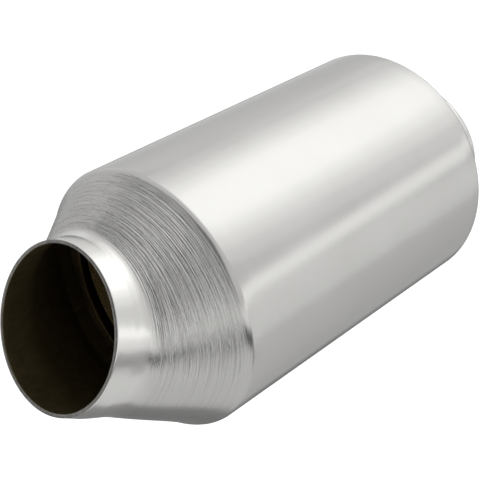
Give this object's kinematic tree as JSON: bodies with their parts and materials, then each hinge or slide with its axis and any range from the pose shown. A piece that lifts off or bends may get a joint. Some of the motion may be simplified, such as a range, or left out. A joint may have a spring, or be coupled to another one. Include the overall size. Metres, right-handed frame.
{
  "type": "catalytic converter",
  "caption": "Spun stainless tube converter with two angled open necks, holding ceramic honeycomb bricks in support mats between retaining rings.",
  "frame": {"origin": "centre of the straight body, on its axis", "axes": "+X along the body axis from the inlet neck to the outlet neck; +Z is the side that both necks lean towards; the part is mirror-symmetric about Y = 0"},
  "size_m": [0.2287, 0.1016, 0.1016],
  "materials": {
    "stainless_shell": "bright spun stainless steel with fine roller grooves on the cones",
    "stainless_ring": "pressed stainless steel, dull",
    "coated_ceramic": "matt golden-brown washcoat on cordierite",
    "fibre_mat": "matt compressed mineral fibre"
  },
  "bodies": {
    "root": {"shell": "stainless_shell", "front_brick": "coated_ceramic", "rear_brick": "coated_ceramic", "front_mat": "fibre_mat", "rear_mat": "fibre_mat", "inlet_ring": "stainless_ring", "outlet_ring": "stainless_ring"}
  },
  "joints": []
}
